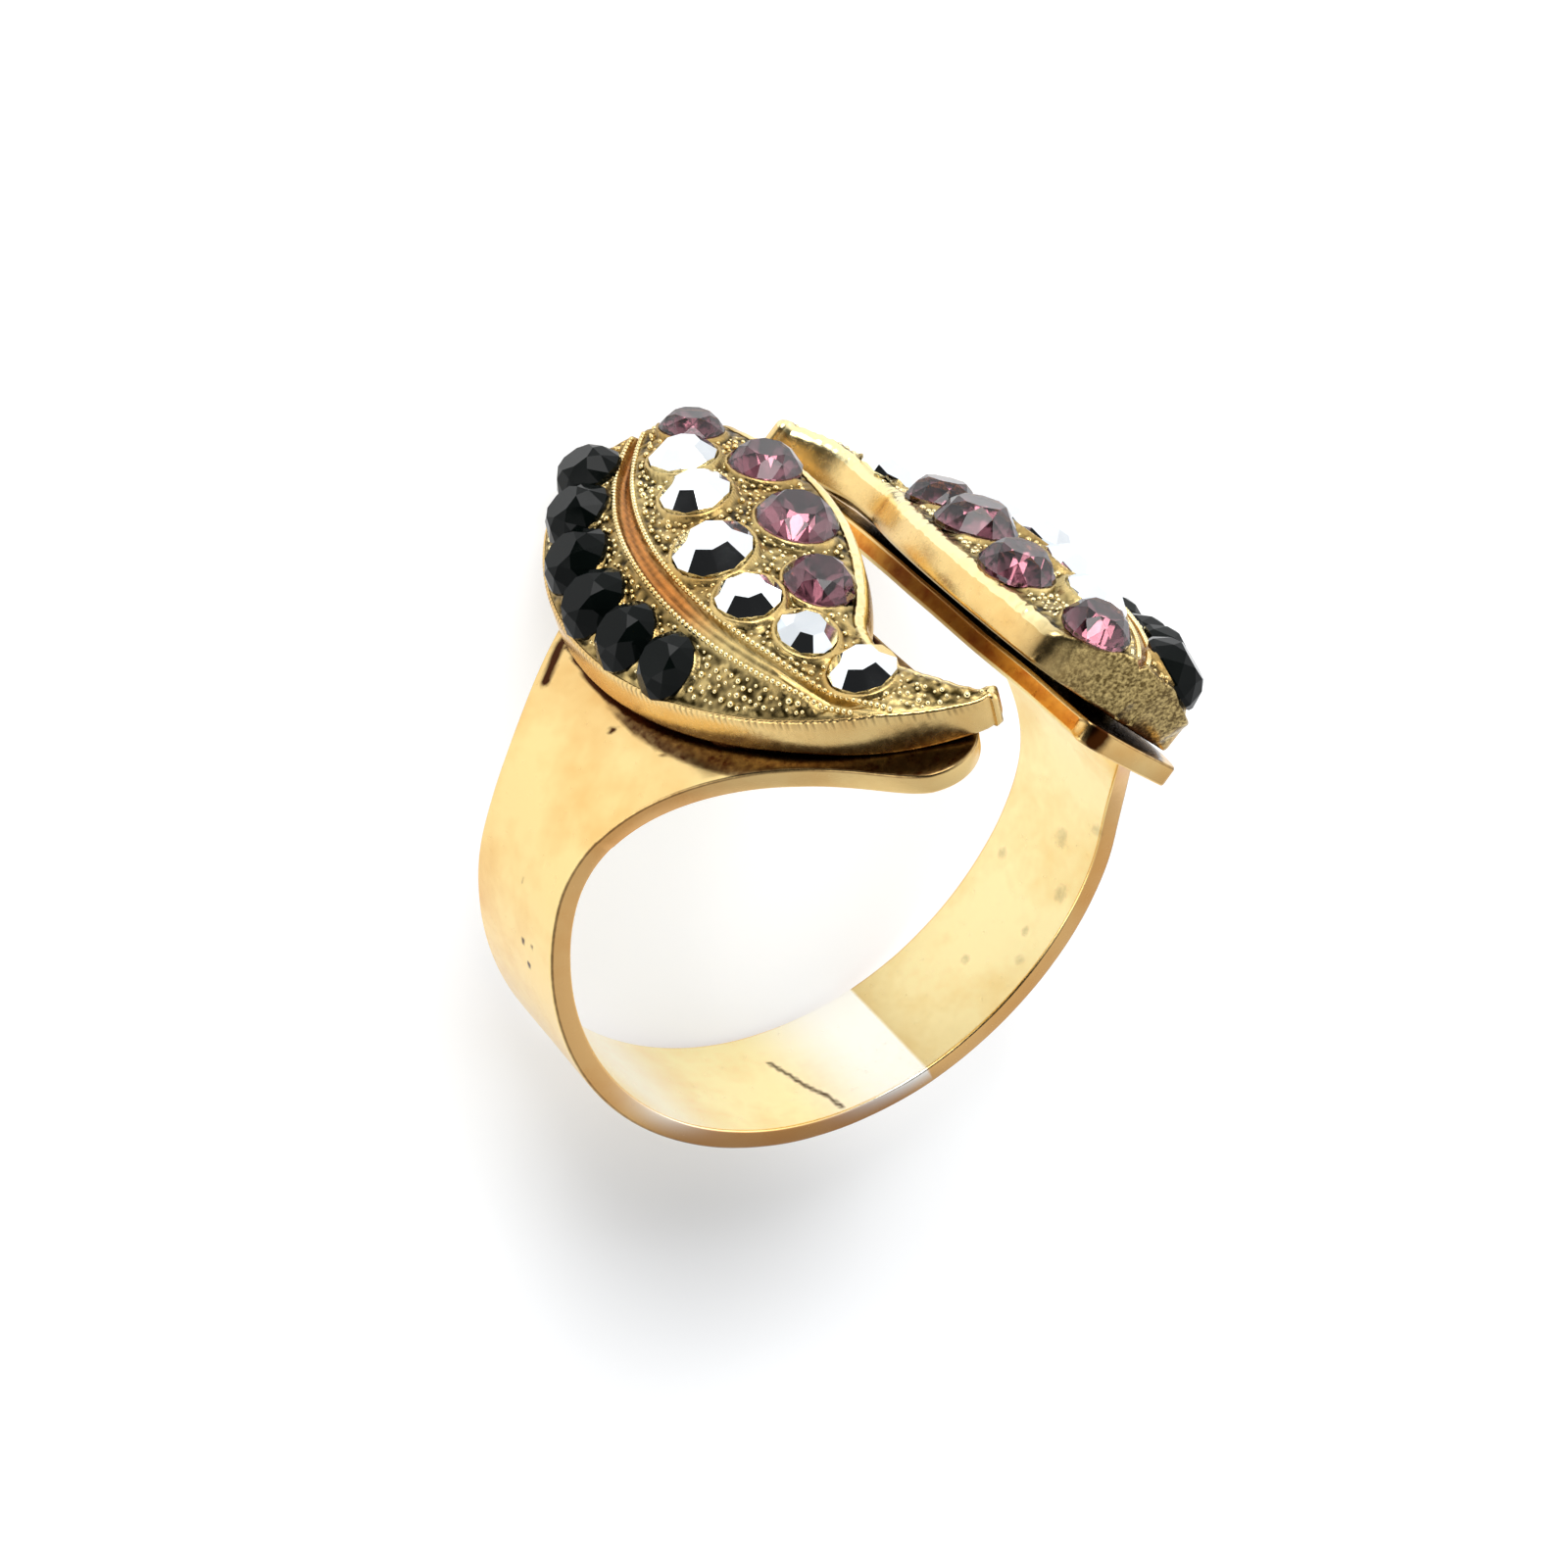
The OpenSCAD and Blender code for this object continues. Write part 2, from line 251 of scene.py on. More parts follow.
# A lighter copy of the band gold: painted light on the band's inner face and the plaques' inner
# lip
LIT_GOLD = gold_material("lit_gold", ("ffeeb4", "f2d088", "8a6428"), (0.2, 0.28), 0.07, 4200)
CAST_GOLD = gold_material("cast_gold", ("e8cd8a", "c39a55", "2a210c"), (0.2, 0.4), 0.4, 7000)
WALL_GOLD = gold_material("wall_gold", ("efcf8c", "d2a25c", "2e2010"), (0.2, 0.3), 0.15, 5200)
BEAD_GOLD = gold_material("bead_gold", ("fff0bc", "dcb86c", "4a3814"), (0.15, 0.25), 0.1, 6000)
COPPER_EDGE = gold_material("copper_edge", ("ffb44e", "d0702a", "2c1408"), (0.25, 0.4), 0.3, 4200,
                            1100, (0.4, 0.64))
SOLDER = gold_material("solder_gold", ("f6ecc8", "e2c48c", "5c4420"), (0.2, 0.35), 0.4, 3500)
BLACK_GLASS = stone_material("black_glass", ("010202", "080d0b"), 700, 3, (0.3, 0.7, 0.03, 0.12),
                             IOR=1.5, Specular_IOR_Level=0.12)
MIRROR_GLASS = stone_material("mirror_glass", ("e9f0f4", "fbfdff"), 900, 4, (0.3, 0.8, 0.02, 0.1),
                              Metallic=1.0)
PURPLE_GLASS = stone_material("purple_glass", ("9c6a74", "bb8a94"), 600, 2, 0.02,
                              IOR=1.55, Transmission_Weight=1.0)
FOIL = stone_material("stone_foil", ("4e4044", "d2bcc2"), 900, 3, 0.12, Metallic=1.0)


# Meshes


def add_piece(name, points, faces, materials, replaced, values=None,
              face_materials=None, round_shade=True):
    mesh = bpy.data.meshes.new(name)
    mesh.from_pydata([tuple(p) for p in points], [], [tuple(int(i) for i in f) for f in faces])
    for m in materials:
        mesh.materials.append(m)
    if face_materials is not None:
        mesh.polygons.foreach_set("material_index", face_materials)
    mesh.polygons.foreach_set("use_smooth", [round_shade] * len(mesh.polygons))
    for label, numbers in (values or {}).items():
        layer = mesh.attributes.new(label, "FLOAT", "POINT")
        layer.data.foreach_set("value", np.asarray(numbers, np.float32))
    mesh.update()
    mesh.validate()
    o = bpy.data.objects.new(name, mesh)
    bpy.context.scene.collection.objects.link(o)
    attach(o, "root")
    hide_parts(*replaced)


def grid_faces(rows, cols, closed=False):
    span = cols if closed else cols - 1
    i, j = np.meshgrid(np.arange(rows - 1), np.arange(span), indexing="ij")
    k = (j + 1) % cols
    a = i * cols
    return np.stack([a + j, a + k, a + cols + k, a + cols + j], -1).reshape(-1, 4)


# The band

# Sections: how many round the plain band, spacing up the sides, rows of an end's rounded
# corner, then the arris of the end and its rows
AROUND, SECTION_STEP, CORNER_ROWS, END_ARRIS, END_ROWS = 240, 0.11, 22, 0.12, 5
# In a section: points across a face, then the arris along the edges and its turns
ACROSS = np.linspace(-1, 1, 61)
ARRIS, CORNER = 0.1, np.radians([15, 38, 62, 85])
# The flare's stretch and the easing of its corner on the side that the camera sees
RIGHT_STRETCH, RIGHT_EASE, RIGHT_NARROWER, RIGHT_CAP_SHARE, RIGHT_RISE = 1.08, 0.5, 0.65, 0.35, 0.8
RISE_FROM, RISE_RUN = 3.5, 2.5
LOBE_STRETCH, LOBE_EASE, LOBE_WIDER = 1.04, 0.8, 0.45
LOBE_ROWS, LOBE_SPREAD, LOBE_ROUNDS = 90, 6, 3


def side_curve(side):
    # Radius and middle of the arc that carries the band's outer face up to the plaque
    s = SIDES[side]
    turn = math.radians(180 - s["slope"] - SIDE_ANGLE)
    r = (s["base"] - SEAM_GAP - OUTER_R * math.cos(turn)) / (1 - math.cos(turn))
    a = math.radians(SIDE_ANGLE)
    return r, ((OUTER_R - r) * math.sin(a), -(OUTER_R - r) * math.cos(a))


def flare(z):
    k = min(max(z, 0), FLARE_R)
    return BAND_W / 2 + FLARE_R - math.sqrt(FLARE_R ** 2 - k * k)


def half_width(z, cap, stretch, ease):
    # The flare runs over into the end's own width with an eased corner
    a, b = BAND_W / 2 + (flare(z) - BAND_W / 2) * stretch, cap
    h = max(0, ease - abs(a - b)) / ease
    return min(a, b) - h * h * ease / 4


def side_sections(side):
    # Outer point, outward direction, limit on the half width and inset of each section, from
    # the band up to the end of the flared side
    s = SIDES[side]
    r, c = side_curve(side)
    last = 180 - s["slope"] + DROOP
    out = []
    turns = int(math.radians(last - SIDE_ANGLE) * r / SECTION_STEP)
    for i in range(1, turns + 1):
        a = math.radians(SIDE_ANGLE + (last - SIDE_ANGLE) * i / turns)
        o = (math.sin(a), -math.cos(a))
        out.append(((c[0] + r * o[0], c[1] + r * o[1]), o, LOBE_W, 0))
    a = math.radians(last)
    o, on = (math.sin(a), -math.cos(a)), (math.cos(a), math.sin(a))
    flat = s["run"] - CORNER_R
    stops = list(np.linspace(0, flat, int(flat / SECTION_STEP) + 2)[1:])
    stops += [s["run"] - CORNER_R * (1 - math.sin(t))
              for t in np.linspace(0, math.pi / 2, CORNER_ROWS)[1:-1]]
    stops = [(t, 0) for t in stops if t < s["run"] - END_ARRIS]
    stops += [(s["run"] - END_ARRIS * (1 - math.sin(t)), END_ARRIS * (1 - math.cos(t)))
              for t in np.linspace(0.3, 1.57, END_ROWS)]
    for t, inset in stops:
        p = (c[0] + r * o[0] + t * on[0], c[1] + r * o[1] + t * on[1])
        k = max(0, t - s["run"] + CORNER_R)
        cap = LOBE_W - CORNER_R + math.sqrt(max(0, CORNER_R ** 2 - k * k))
        out.append((p, o, cap, inset))
    f = s["flip"]
    return [((f * p[0], p[1]), (f * o[0], o[1]), cap, inset) for p, o, cap, inset in out]


def band_sections():
    around = []
    for a in np.radians(np.linspace(-SIDE_ANGLE, SIDE_ANGLE, AROUND)):
        o = (math.sin(a), -math.cos(a))
        around.append(((OUTER_R * o[0], OUTER_R * o[1]), o, LOBE_W, 0))
    return side_sections("left")[::-1] + around + side_sections("right")


def near_widths(sections):
    # Half width on the side of the band that the camera sees: the right end stays narrower,
    # the left lobe is rounder and a little wider
    near = []
    for p, o, cap, inset in sections:
        if p[0] > 0:
            end = LOBE_W - RIGHT_NARROWER - RIGHT_CAP_SHARE * (LOBE_W - cap)
            rise = RIGHT_RISE * float(smooth((p[1] - RISE_FROM) / RISE_RUN))
            near.append(half_width(p[1] + rise, end, RIGHT_STRETCH, RIGHT_EASE))
        else:
            near.append(half_width(p[1], cap + LOBE_WIDER, LOBE_STRETCH, LOBE_EASE))
    span = 2 * LOBE_SPREAD + 1
    for _ in range(LOBE_ROUNDS):
        padded = np.pad(near, LOBE_SPREAD, mode="edge")
        eased = np.convolve(padded, np.full(span, 1 / span), mode="valid")
        near[:LOBE_ROWS] = eased[:LOBE_ROWS]
    return near


def section_loop(p, o, cap, inset, near_half):
    # One closed loop round the sheet as y and depth: outer face, arris, cut edge, inner face
    thick = BAND_T - 2 * inset
    a = min(ARRIS, thick / 2.2)
    loop = []
    for side in (1, -1):
        run = ACROSS[ACROSS * side >= 0]
        part = [(u, 0.0, 0.0) for u in run[::side]]
        part += [(side, a * math.sin(t), a * (1 - math.cos(t))) for t in CORNER]
        part += [(side, a * math.sin(t), thick - a * (1 - math.cos(t))) for t in CORNER[::-1]]
        part += [(u, 0.0, thick) for u in run[::-side]]
        placed = []
        for u, extra, depth in part:
            d = depth + inset
            half = half_width(p[1] - d * o[1], cap, 1, LOBE_EASE) if side > 0 else near_half
            placed.append((u * (half - inset - a) + side * extra, d))
        # Both halves meet on the middle line, whose two points the second half leaves out
        loop += placed if side > 0 else placed[::-1][1:-1]
    return loop


# Pits, stains and lines on the band: point on the ring as it stands, radius, strength
MARKS = [
    ((-7.53, -0.35, 4.12), 0.12, 1.0), ((-7.2, -2.35, 4.45), 0.07, 0.5),
    ((-9.13, -0.57, -2.1), 0.1, 0.8), ((-9.15, -1.1, -1.98), 0.08, 0.6),
    ((-8.96, -0.83, -2.71), 0.11, 0.9), ((-9.33, -0.27, -0.36), 0.08, 0.4),
    ((8.68, -0.61, -0.94), 0.3, 0.2), ((8.67, -1.98, 0.11), 0.24, 0.22),
    ((8.43, -1.5, -2.33), 0.3, 0.2), ((6.88, 0.06, -5.4), 0.2, 0.2),
    ((7.51, -1.54, -4.48), 0.2, 0.18), ((8.35, 1.34, -2.61), 0.22, 0.18),
    ((7.87, -1.07, -3.82), 0.16, 0.2), ((2.85, -7.15, 6.72), 0.4, 1.0),
]
CRACK = [(1.1, 0.76, -8.68), (1.34, 0.02, -8.64), (1.52, -0.63, -8.61),
         (1.86, -1.33, -8.55), (1.96, -2.0, -8.52)]
# The wedge is a line of painted shade in the gap below the left plaque's rim
WEDGE = [(-7.1, 3.6, 4.61), (-7.5, 3.2, 4.22), (-7.85, 2.85, 3.83)]
LINES = [(CRACK, 0.08, 0.62), (WEDGE, 0.18, 0.8)]
LINE_STEPS, LINE_WOBBLE = 12, 0.015

# Angle of the crease inside the band
CREASE = 31.5
# Tones of the right end's cut edge, half the length of its dark middle, and the fade beside that
END_DARK, END_LIGHT, END_DARK_HALF, END_FADE = 0.25, 0.95, 2, 2.5
# Amount, then the height where it starts and the height over which it grows
SHOULDER_SHADE, SHOULDER_FROM, SHOULDER_RUN = 0.12, 2.5, 2
COPPER_SHARE, COPPER_LOSS, COPPER_FROM, COPPER_RUN = 0.42, 0.37, 3.5, 2
EDGE_TONE, FOOT_SHADE, FOOT_FROM, FOOT_RUN = 0.88, 0.5, 7.2, 1.5
NECK_SHADE, NECK_AT, NECK_SPREAD = 0.2, 4.5, 1.5
# Painted reflection on the inside of the band, in degrees: up to the crease, and round one more
# place
REFLECTION_BEFORE, REFLECTION_RUN = 28, 22
REFLECTION_SPOT_SHARE, REFLECTION_SPOT_AT, REFLECTION_SPOT_SPREAD = 0.6, -30, 11
CREASE_SHADE, CREASE_RUN = 0.34, 10
# Darkening of the outer arris, then painted shade under and beside the plaques
ARRIS_DARKENING, UNDER_PLAQUE_SHADE, BESIDE_PLAQUE_SHADE = 0.45, 0.9, 0.62
NEAR_UNDERSIDE = 0.75
# Height, grain size, offset and seed of the waves in the sheet
WAVES = [(0.022, 2.6, 0, 3), (0.006, 1.1, 9, 4)]


def line_marks():
    marks = []
    for line, radius, strength in LINES:
        for a, b in zip(line[:-1], line[1:]):
            for k in range(LINE_STEPS):
                t = k / LINE_STEPS
                wobble = LINE_WOBBLE * math.sin(1.7 * len(marks))
                spot = tuple(p + (q - p) * t + wobble for p, q in zip(a, b))
                marks.append((spot, radius, strength))
    return marks


def plan_points(side, points):
    # Points of the standing ring as seen from a plaque: plan x, plan y, height over its underside
    s = SIDES[side]
    x, y, z = points.T
    if side == "right":
        x, y = -x, -y
    c, d = math.cos(math.radians(s["slope"])), math.sin(math.radians(s["slope"]))
    return np.stack([-y - s["shift"], c * x + d * z, -d * x + c * z - s["base"]], -1)


def under_plaque_shade(points, depths):
    # Painted shade on the outer face under each plaque, and beside it on the left lobe
    on_face = depths < 0.02
    stain_and_shade = np.zeros(len(points))
    for side in SIDES:
        plan = plan_points(side, points)
        inside = from_outer_edge(plan[:, 0], plan[:, 1])
        belly = from_inner_edge(plan[:, 0], plan[:, 1])
        close = smooth((plan[:, 2] + NEAR_UNDERSIDE) / 0.3)
        under = smooth(inside / 0.08) * close * on_face * smooth(belly / 0.1)
        stain_and_shade = np.maximum(stain_and_shade, UNDER_PLAQUE_SHADE * under)
        if side == "left":
            reach = 0.15 * (plan[:, 0] + 1.5)
            beside = smooth((inside + reach) / 0.12) * smooth((plan[:, 0] + 1) / 1.5)
            beside = beside * (plan[:, 2] > -NEAR_UNDERSIDE) * on_face
            stain_and_shade = np.maximum(stain_and_shade, BESIDE_PLAQUE_SHADE * beside)
    return stain_and_shade


def band_finish(points, depths, cols):
    height = points[:, 2]
    # The shoulders get painted shade, and the inside a painted reflection up to a crease, with
    # painted shade beyond it
    shoulder = smooth((height - SHOULDER_FROM) / SHOULDER_RUN) * (depths < 0.2)
    tone = 1 - SHOULDER_SHADE * shoulder
    turn = np.degrees(np.arctan2(points[:, 0], -height))
    inward = depths > 0.3
    painted_reflection = inward * (turn < CREASE) * smooth((turn - CREASE + REFLECTION_BEFORE) / REFLECTION_RUN)
    spot = np.exp(-((turn - REFLECTION_SPOT_AT) / REFLECTION_SPOT_SPREAD) ** 2)
    painted_reflection = np.maximum(painted_reflection, REFLECTION_SPOT_SHARE * inward * spot)
    beyond = (turn >= CREASE) * np.exp(-(turn - CREASE) / CREASE_RUN)
    tone = tone - CREASE_SHADE * inward * beyond
    copper = np.zeros(len(points))
    stain_and_shade = under_plaque_shade(points, depths)
    for centre, radius, strength in MARKS + line_marks():
        d = np.linalg.norm(points - np.array(centre), axis=1)
        stain_and_shade = np.maximum(stain_and_shade, strength * smooth(1.4 - d / radius))
    # The arris of the outer face is darkened, and the cut edge copper coloured with its tone
    # painted darker as shade at the foot and round the neck
    place = np.arange(len(points)) % cols
    mid = len(ACROSS) // 2
    reddened = COPPER_SHARE - COPPER_LOSS * smooth((height - COPPER_FROM) / COPPER_RUN)
    shaded = (EDGE_TONE - FOOT_SHADE * smooth((-height - FOOT_FROM) / FOOT_RUN)
              - NECK_SHADE * np.exp(-((height - NECK_AT) / NECK_SPREAD) ** 2))
    for k in (place - mid, cols - mid - place):
        stain_and_shade = np.maximum(stain_and_shade, np.where((k >= 2) & (k <= 3), ARRIS_DARKENING, 0))
        edge = (k >= 3) & (k <= 6)
        copper = np.maximum(copper, np.where(edge, reddened, 0))
        tone = np.where(edge, shaded, tone)
    # The right end's cut edge is dark in its middle
    last = len(points) - END_ROWS * cols
    lighter = smooth((np.abs(points[last:, 1]) - END_DARK_HALF) / END_FADE)
    tone[last:] = END_DARK + (END_LIGHT - END_DARK) * lighter
    copper[last:] = 0
    return dict(tone=tone, stain_and_shade=stain_and_shade, copper=copper, painted_reflection=painted_reflection)


def waved(points):
    # Slow hand-worked waves keep the sheet from looking machined
    along = points[:, 0] + points[:, 2]
    rise = sum(amount * lattice_noise(along, points[:, 1] + offset, cell, seed)
               for amount, cell, offset, seed in WAVES)
    radial = points[:, [0, 2]] / np.linalg.norm(points[:, [0, 2]], axis=1)[:, None]
    points[:, [0, 2]] += radial * rise[:, None]
    return points


def band():
    sections = band_sections()
    points, depths = [], []
    for (p, o, cap, inset), near_half in zip(sections, near_widths(sections)):
        for y, d in section_loop(p, o, cap, inset, near_half):
            points.append((p[0] - d * o[0], y, p[1] - d * o[1]))
            depths.append(d)
    points = np.array(points)
    rows = len(sections)
    cols = len(points) // rows
    values = band_finish(points, np.array(depths), cols)
    # Each end is closed by a strip of quads from its outer to its inner face
    quarter = cols // 4
    middle = 2 * quarter
    ends = [(k, k + 1, middle - k, middle + 1 - k) for k in range(quarter)]
    ends += [(middle + 1 + k, middle + 2 + k, cols - 1 - k, (cols - k) % cols)
             for k in range(quarter)]
    faces = [tuple(f) for f in grid_faces(rows, cols, closed=True)]
    faces += [end[::-1] for end in ends]
    faces += [tuple((rows - 1) * cols + k for k in end) for end in ends]
    # The inner face of the band takes the lighter gold as a painted reflection
    column = np.arange(cols)
    inner = len(ACROSS) // 2 + 2 * len(CORNER) + 1
    back = ((column >= inner) & (column < cols - inner)).astype(int).tolist()
    add_piece("band_sheet", moved(waved(points), LAID), faces, [BAND_GOLD, LIT_GOLD, COPPER_EDGE],
              ["shank_and_settings"], values,
              face_materials=back * (rows - 1) + [0] * len(ends) + [2] * len(ends))


# The plaques

BLUNT = [(-6.7, 3.63), (-7.35, 2.6), (-7.64, 1.4), (-7.8, 0.3), (-7.65, -1.0), (-7.56, -1.85)]
TIP_END, TIP_CUT, NOTCH_END = (7.7, 3.1), (0.3, -0.5), -114
OUTER_FILLET, INNER_FILLET = 0.1, 0.32
OUTLINE_STEP = 0.03


def ridge(x):
    return CROWN_H - BARREL_R + np.sqrt(BARREL_R ** 2 - (x - BARREL_X) ** 2)


def from_outer_edge(x, y):
    return OUTER_EDGE_R - np.hypot(x - OUTER_C[0], y - OUTER_C[1])


def from_inner_edge(x, y):
    return BELLY_R - np.hypot(x - BELLY_C[0], y - BELLY_C[1])


def metal_z(x, y):
    outer = WALL_H + from_outer_edge(x, y) * math.tan(OUTER_SLOPE)
    inner = WALL_H + from_inner_edge(x, y) * math.tan(INNER_SLOPE)
    return np.minimum(np.minimum(ridge(x), outer), np.maximum(inner, WALL_H + NOTCH_RIM))


def seat_plane(x, y):
    # Middle height and fall of the metal under a stone
    at = lambda a, b: float(metal_z(np.float64(x + a), np.float64(y + b)))
    mean = (at(0, 0) + at(PROBE, 0) + at(-PROBE, 0) + at(0, PROBE) + at(0, -PROBE)) / 5
    fall = ((at(-PROBE, 0) - at(PROBE, 0)) / (2 * PROBE),
            (at(0, -PROBE) - at(0, PROBE)) / (2 * PROBE))
    return mean, fall


def seat_matrix(s):
    mean, fall = seat_plane(s[0], s[1])
    m = Matrix.Translation((s[0], s[1], mean + STONE_LIFT))
    m = m @ Matrix.Rotation(math.atan2(fall[1], fall[0]), 4, "Z")
    return m @ Matrix.Rotation(math.atan(math.hypot(*fall)), 4, "Y")


def bow(c, r, start, end):
    n = max(2, int(abs(end - start) * r / OUTLINE_STEP))
    return [(c[0] + r * math.cos(a), c[1] + r * math.sin(a)) for a in np.linspace(start, end, n)]


def straight(a, b):
    # The points between a and b, without either
    n = int(math.dist(a, b) / OUTLINE_STEP)
    return [(a[0] + (b[0] - a[0]) * k / n, a[1] + (b[1] - a[1]) * k / n) for k in range(1, n)]


def heading(c, p):
    return math.atan2(p[1] - c[1], p[0] - c[0])


def blurred(values, spread, rounds=2):
    # Running mean round a closed line
    for _ in range(rounds):
        values = sum(np.roll(values, k, 0) for k in range(-spread, spread + 1)) / (2 * spread + 1)
    return values


def plaque_outline():
    # The line where the top starts: the outline with its corners eased, less the fillet
    turn = math.radians(NOTCH_END)
    notch = bow(NOTCH_C, NOTCH_R, heading(NOTCH_C, TIP_END), turn)
    belly = bow(BELLY_C, BELLY_R, heading(BELLY_C, notch[-1]), heading(BELLY_C, BLUNT[0]))
    blunt = [p for a, b in zip(BLUNT[:-1], BLUNT[1:]) for p in straight(a, b)]
    tip = (TIP_END[0] + TIP_CUT[0], TIP_END[1] + TIP_CUT[1])
    outer = bow(OUTER_C, OUTER_EDGE_R, heading(OUTER_C, BLUNT[-1]) + 2 * math.pi,
                heading(OUTER_C, tip) + 2 * math.pi)
    close = straight(outer[-1], notch[0])
    line = np.array(notch + belly + blunt + outer + close)
    inner = np.zeros(len(line))
    inner[:len(notch) + len(belly)] = 1
    line, inner = blurred(line, 9), blurred(inner, 12)
    run = np.roll(line, -1, 0) - np.roll(line, 1, 0)
    out = np.stack([run[:, 1], -run[:, 0]], -1) / np.linalg.norm(run, axis=1)[:, None]
    fillet = OUTER_FILLET + (INNER_FILLET - OUTER_FILLET) * inner
    return line - out * fillet[:, None]


TOP_LINE = plaque_outline()
LEFT_END, RIGHT_END = int(np.argmin(TOP_LINE[:, 0])), int(np.argmax(TOP_LINE[:, 0]))


def chain(first, last):
    # The stretch of the top's outline from one index on to another, sorted by x
    n = len(TOP_LINE)
    part = TOP_LINE[[(first + k) % n for k in range((last - first) % n + 1)]]
    return part[np.argsort(part[:, 0])]


LOW_CHAIN, HIGH_CHAIN = chain(LEFT_END, RIGHT_END), chain(RIGHT_END, LEFT_END)


def plan_limits(x):
    # Lower and upper y of the plaque's top at x
    low = np.interp(x, LOW_CHAIN[:, 0], LOW_CHAIN[:, 1])
    high = np.interp(x, HIGH_CHAIN[:, 0], HIGH_CHAIN[:, 1])
    return low, np.maximum(high, low + 0.01)


def channel_lines(x, y):
    # How far inside the channel's outer line and beyond its inner line
    inside = CHANNEL_R - np.hypot(x - CHANNEL_C[0], y - CHANNEL_C[1])
    beyond = np.hypot(x - FIELD_C[0], y - FIELD_C[1]) - FIELD_R
    return inside, beyond


COLLAR_W, COLLAR_LIFT = 0.2, 0.03
# A pocket drops by its lip at the stone's edge, then by its slant towards the middle, to
# its depth or floor at most
POCKET_LIP, POCKET_DEPTH, POCKET_FLOOR = 0.16, 1, 0.2
BLACK_SLANT, OTHER_SLANT = 1.1, 20


def stone_relief(x, y, z, inland):
    # Raised collar round each stone and the pocket under it, cone shaped under black stones
    rim = np.zeros_like(z)
    for s in STONES:
        mean, fall = seat_plane(s[0], s[1])
        r = s[2] * STONE_D / 2
        dx, dy = x - s[0], y - s[1]
        run = math.hypot(*fall)
        ex, ey = (fall[0] / run, fall[1] / run) if run > 1e-6 else (1.0, 0.0)
        along = (dx * ex + dy * ey) * math.sqrt(1 + run * run)
        d = np.hypot(along, -dx * ey + dy * ex)
        level = mean + STONE_LIFT - fall[0] * dx - fall[1] * dy
        collar = smooth((r + COLLAR_W - d) / 0.1) * smooth((d - r + 0.03) / 0.05) * inland
        lifted = np.maximum(z, z * (1 - collar) + (level + COLLAR_LIFT) * collar)
        z = np.where((d < r + 0.7) & (collar > 0), lifted, z)
        slant = BLACK_SLANT if s in BLACK else OTHER_SLANT
        depth = np.minimum(POCKET_LIP + slant * (1 - d / r), POCKET_DEPTH)
        pocket = np.maximum(level - depth, POCKET_FLOOR)
        z = np.where(d < r, z - np.maximum(z - pocket, 0) * inland, z)
        rim = np.maximum(rim, collar)
    return z, rim


TOP_ROWS, TOP_COLS = 340, 150
# How strongly rows crowd at both ends, and columns along both rims
ROW_CROWD, COL_CROWD = 0.04, 0.12
# The channel's depth and eased edge, the lines along it, and a rib on either side
GROOVE_DEPTH, GROOVE_EASE, GROOVE_LINES, LINE_H = 0.2, 0.16, 3, 0.02
RIB_H, RIB_W = 0.05, 0.09
RED_SHARE, RED_FROM, RED_RUN = 0.85, 0.2, 2.2
# Height of the field's grain, and the share, size and seed of its two layers
GRAIN_H, GRAIN_LAYERS = 0.05, [(0.6, 0.13, 11), (0.4, 0.3, 12)]


def crowded(margin, count):
    # Stops from about 0 to 1 that lie closer together near both ends
    return 0.5 - 0.5 * np.cos(np.linspace(margin, math.pi - margin, count))


def plaque_top():
    # The top as a grid of points, with its tone and its reddish channel
    left, right = TOP_LINE[:, 0].min(), TOP_LINE[:, 0].max()
    x = left + (right - left) * crowded(ROW_CROWD, TOP_ROWS)
    x = 0.5 * x + 0.5 * np.linspace(x[0], x[-1], TOP_ROWS)
    low, high = plan_limits(x)
    v = crowded(COL_CROWD, TOP_COLS)
    v = (v - v[0]) / (v[-1] - v[0])
    X = np.repeat(x[:, None], TOP_COLS, 1)
    Y = low[:, None] + (high - low)[:, None] * v[None, :]
    edge = from_outer_edge(X, Y)
    inside, beyond = channel_lines(X, Y)
    sunk = np.minimum(inside, beyond)
    groove = smooth(sunk / GROOVE_EASE) * smooth((edge - 0.3) / 0.3)
    across = beyond / np.maximum(inside + beyond, 1e-6)
    lines = np.cos(across * 2 * math.pi * GROOVE_LINES)
    ribs = np.exp(-(inside / RIB_W) ** 2) + np.exp(-(beyond / RIB_W) ** 2)
    grainy = sunk < -0.06
    grain = sum(share * lattice_noise(X, Y, cell, seed) for share, cell, seed in GRAIN_LAYERS)
    Z = metal_z(X, Y) - GROOVE_DEPTH * groove + LINE_H * lines * groove
    Z = Z + RIB_H * ribs * smooth((edge - 0.2) / 0.3)
    Z = Z + GRAIN_H * grain * grainy * smooth((edge - 0.05) / 0.25)
    inland = smooth(np.minimum(Y - low[:, None], high[:, None] - Y) / 0.3 - 0.2)
    Z, rim = stone_relief(X, Y, Z, inland)
    tone = np.where(grainy, 0.3 + 0.7 * grain, 0.62 + 0.3 * lines + 0.3 * grain)
    tone = np.maximum(tone, 0.85 * rim)
    tone = np.maximum(tone, ribs)
    tone = np.maximum(tone, 1 - smooth(edge / 0.2))
    reddish = RED_SHARE * groove * (1 - ribs) * (1 - smooth((X - RED_FROM) / RED_RUN))
    top = np.stack([X, Y, Z], -1).reshape(-1, 3)
    return top, np.clip(tone, 0, 1).ravel(), np.clip(reddish, 0, 1).ravel()


